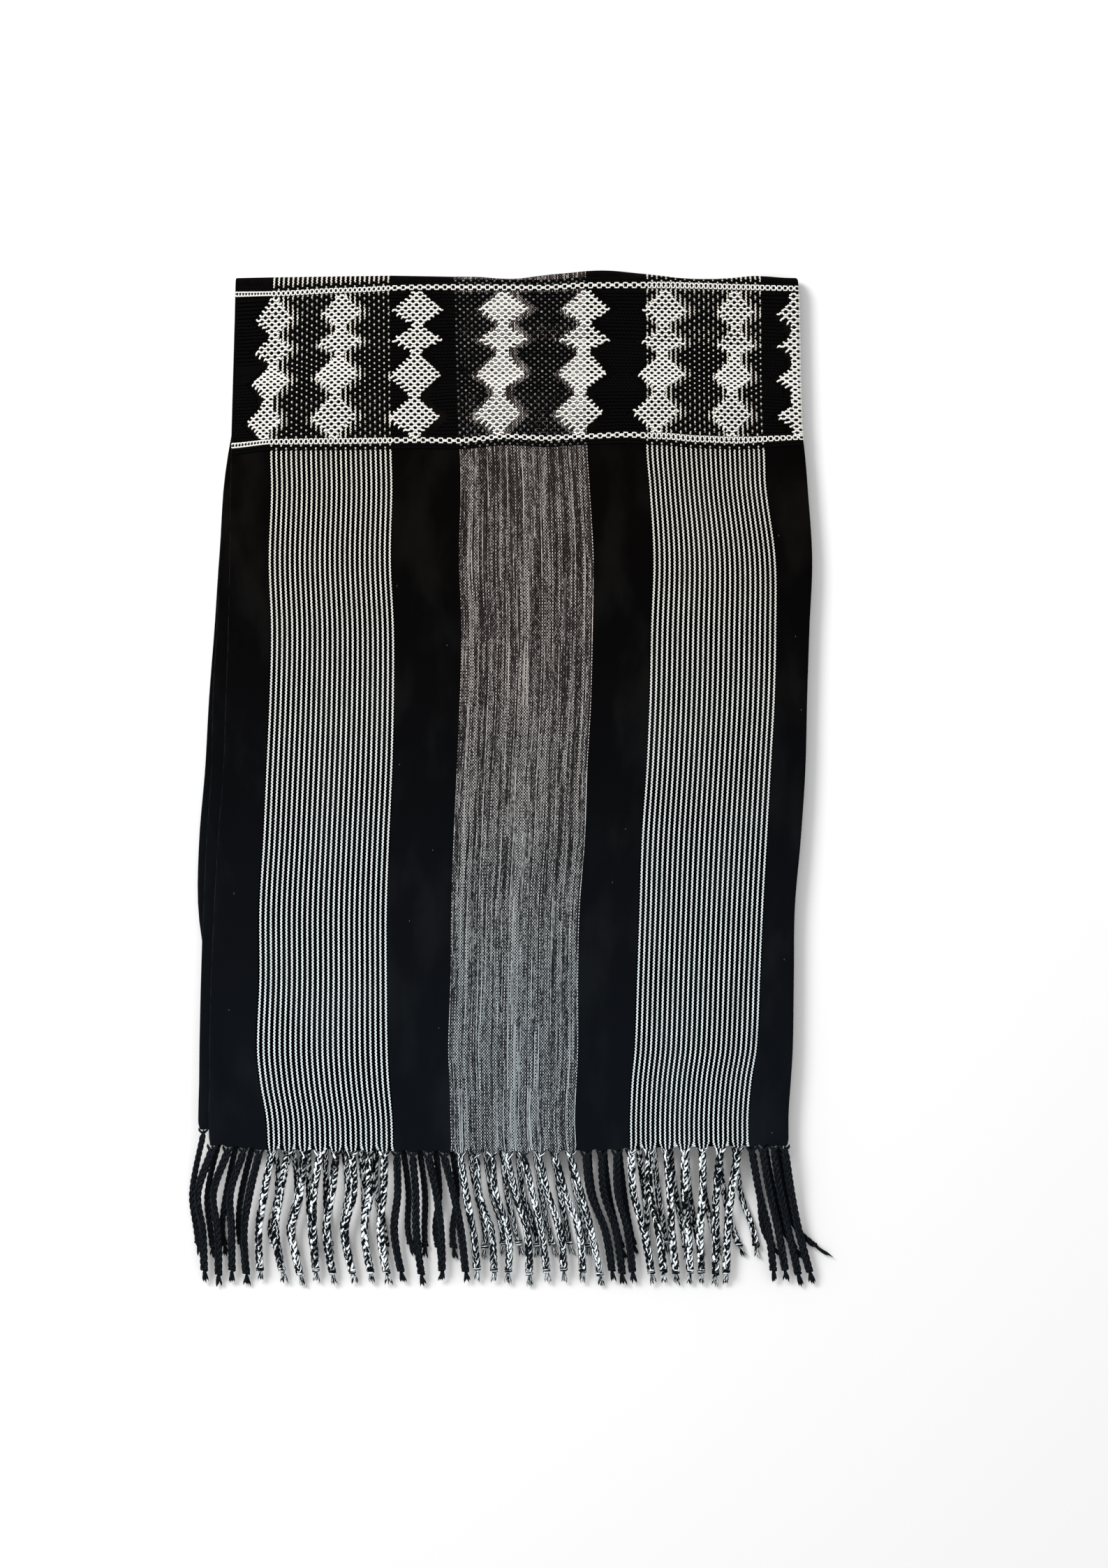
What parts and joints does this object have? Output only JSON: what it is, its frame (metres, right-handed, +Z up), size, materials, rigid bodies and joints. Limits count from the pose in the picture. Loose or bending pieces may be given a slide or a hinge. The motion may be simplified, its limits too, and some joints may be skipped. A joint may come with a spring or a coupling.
{
  "type": "shawl",
  "caption": "Woven cotton shawl folded flat, striped in black and white with rows of brocaded diamonds and braided fringe",
  "frame": {"origin": "on the floor under the middle of the folded shawl", "axes": "+X to the folded long side, +Y to the rolled end away from the fringe, +Z up, out of the top layer"},
  "size_m": [0.4193, 0.6571, 0.0132],
  "materials": {
    "woven_cloth": "matt cotton, striped",
    "inner_cloth": "matt cotton",
    "braid": "matt cotton yarn"
  },
  "bodies": {
    "root": {"outer_cloth": "woven_cloth", "back_half": "woven_cloth", "folded_layers": "inner_cloth", "fringe_front": "braid", "fringe_back": "braid"}
  },
  "joints": []
}
